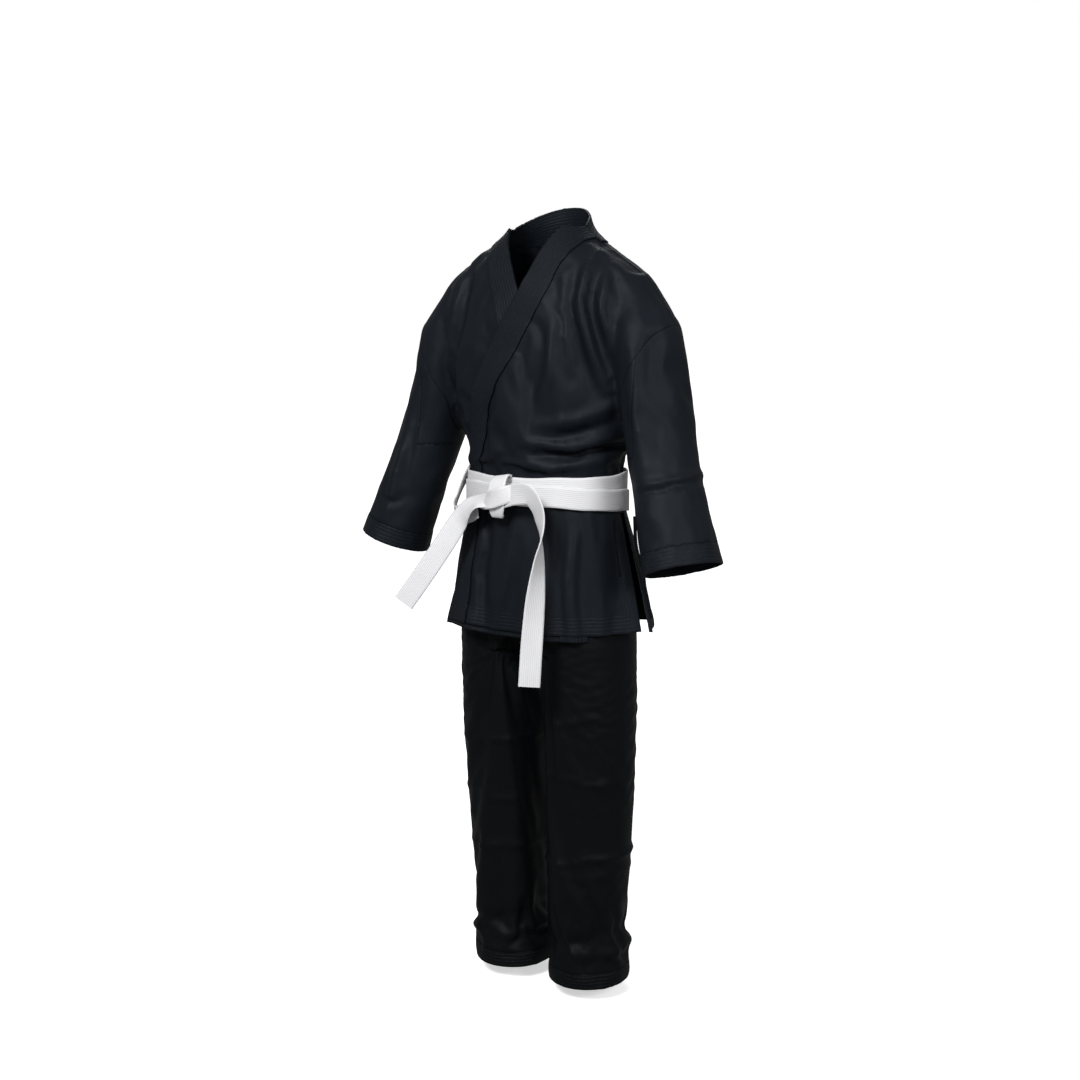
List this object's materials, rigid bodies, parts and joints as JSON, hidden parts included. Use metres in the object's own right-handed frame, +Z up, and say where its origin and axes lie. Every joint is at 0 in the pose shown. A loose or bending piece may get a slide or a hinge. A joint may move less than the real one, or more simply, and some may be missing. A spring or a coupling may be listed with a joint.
{
  "type": "martial arts uniform",
  "caption": "Black wrap-front training uniform as it is worn: jacket with stitched lapels, loose trousers and a white cotton belt knotted in front.",
  "frame": {"origin": "middle of the waist, at the height of the middle of the belt", "axes": "+Z up, the wearer faces -Y, the wearer's left is +X"},
  "size_m": [0.7882, 0.3617, 1.4682],
  "materials": {
    "jacket_cloth": "matte",
    "lapel_cloth": "matte",
    "trouser_cloth": "matte",
    "tape": "matte",
    "belt_cotton": "matte"
  },
  "bodies": {
    "trousers": {"trouser_waistband": "trouser_cloth", "left_trouser_thigh": "trouser_cloth", "right_trouser_thigh": "trouser_cloth", "left_trouser_knee": "trouser_cloth", "right_trouser_knee": "trouser_cloth", "crotch_gusset": "trouser_cloth"},
    "left_shin": {"left_trouser_shin": "trouser_cloth", "left_trouser_hem": "trouser_cloth"},
    "right_shin": {"right_trouser_shin": "trouser_cloth", "right_trouser_hem": "trouser_cloth"},
    "jacket": {"left_front": "jacket_cloth", "right_front": "jacket_cloth", "left_back": "jacket_cloth", "right_back": "jacket_cloth", "left_lapel": "lapel_cloth", "right_lapel": "lapel_cloth", "neck_band": "lapel_cloth", "belt_inner_turn": "belt_cotton", "belt_outer_turn": "belt_cotton", "belt_knot": "belt_cotton", "belt_left_loop": "belt_cotton", "belt_right_loop": "belt_cotton"},
    "left_arm": {"left_sleeve": "jacket_cloth", "left_underarm_gusset": "jacket_cloth", "left_cuff": "jacket_cloth"},
    "right_arm": {"right_sleeve": "jacket_cloth", "right_underarm_gusset": "jacket_cloth", "right_cuff": "jacket_cloth"},
    "left_tail": {"belt_left_tail": "belt_cotton"},
    "right_tail": {"belt_right_tail": "belt_cotton"},
    "left_front_tape": {"left_front_tie": "tape"},
    "left_back_tape": {"left_back_tie": "tape"},
    "right_front_tape": {"right_front_tie": "tape"},
    "right_back_tape": {"right_back_tie": "tape"}
  },
  "joints": [
    {"name": "jacket_lift", "type": "slide", "parent": "trousers", "child": "jacket", "axis": [0, 0, 1], "range_m": [0, 0.36]},
    {"name": "left_sleeve_raise", "type": "hinge", "parent": "jacket", "child": "left_arm", "pos_m": [0.19, 0, 0.372], "axis": [0, -1, 0], "range_deg": [0, 75]},
    {"name": "left_knee_bend", "type": "hinge", "parent": "trousers", "child": "left_shin", "pos_m": [0.105, 0.022, -0.495], "axis": [1, 0, 0], "range_deg": [0, 90], "deforming": ["left_trouser_knee"]},
    {"name": "left_front_tie_swing", "type": "hinge", "parent": "jacket", "child": "left_front_tape", "pos_m": [0.18, -0.044, -0.046], "axis": [-1, 0, 0], "range_deg": [0, 60]},
    {"name": "left_back_tie_swing", "type": "hinge", "parent": "jacket", "child": "left_back_tape", "pos_m": [0.187, 0.016, -0.046], "axis": [1, 0, 0], "range_deg": [0, 60]},
    {"name": "right_sleeve_raise", "type": "hinge", "parent": "jacket", "child": "right_arm", "pos_m": [-0.19, 0, 0.372], "axis": [0, 1, 0], "range_deg": [0, 75]},
    {"name": "right_knee_bend", "type": "hinge", "parent": "trousers", "child": "right_shin", "pos_m": [-0.105, 0.022, -0.495], "axis": [1, 0, 0], "range_deg": [0, 90], "deforming": ["right_trouser_knee"]},
    {"name": "right_front_tie_swing", "type": "hinge", "parent": "jacket", "child": "right_front_tape", "pos_m": [-0.18, -0.044, -0.046], "axis": [-1, 0, 0], "range_deg": [0, 60]},
    {"name": "right_back_tie_swing", "type": "hinge", "parent": "jacket", "child": "right_back_tape", "pos_m": [-0.187, 0.016, -0.046], "axis": [1, 0, 0], "range_deg": [0, 60]},
    {"name": "left_tail_swing", "type": "hinge", "parent": "jacket", "child": "left_tail", "pos_m": [0.098, -0.145, -0.016], "axis": [-1, 0, 0], "range_deg": [0, 75]},
    {"name": "right_tail_swing", "type": "hinge", "parent": "jacket", "child": "right_tail", "pos_m": [-0.097, -0.143, -0.059], "axis": [-0.6046, 0.7965, 0], "range_deg": [0, 60]}
  ]
}
